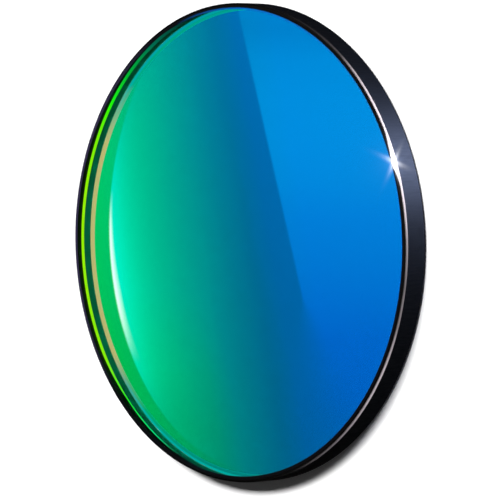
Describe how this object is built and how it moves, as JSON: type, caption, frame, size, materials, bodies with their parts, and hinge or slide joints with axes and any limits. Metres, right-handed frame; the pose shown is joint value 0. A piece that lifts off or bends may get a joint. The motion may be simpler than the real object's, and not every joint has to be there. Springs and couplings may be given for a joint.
{
  "type": "optical bandpass filter",
  "caption": "Unmounted round interference bandpass filter: a flat glass disc with a mirror-bright thin-film coating, ground bevels and a blackened edge, held by its rim in a cell",
  "frame": {"origin": "centre of the back face, which the filter lies on", "axes": "+Z along the optical axis, out of the coated front face; X and Y are free, because the filter is round"},
  "size_m": [0.05, 0.05, 0.003],
  "materials": {
    "coated_glass": "polished, with a thin-film mirror coating that runs from sea green to deep blue",
    "black_lacquer": "satin black edge lacquer over a fine-ground edge"
  },
  "bodies": {
    "root": {"filter_glass": "coated_glass", "edge_lacquer": "black_lacquer"}
  },
  "joints": []
}
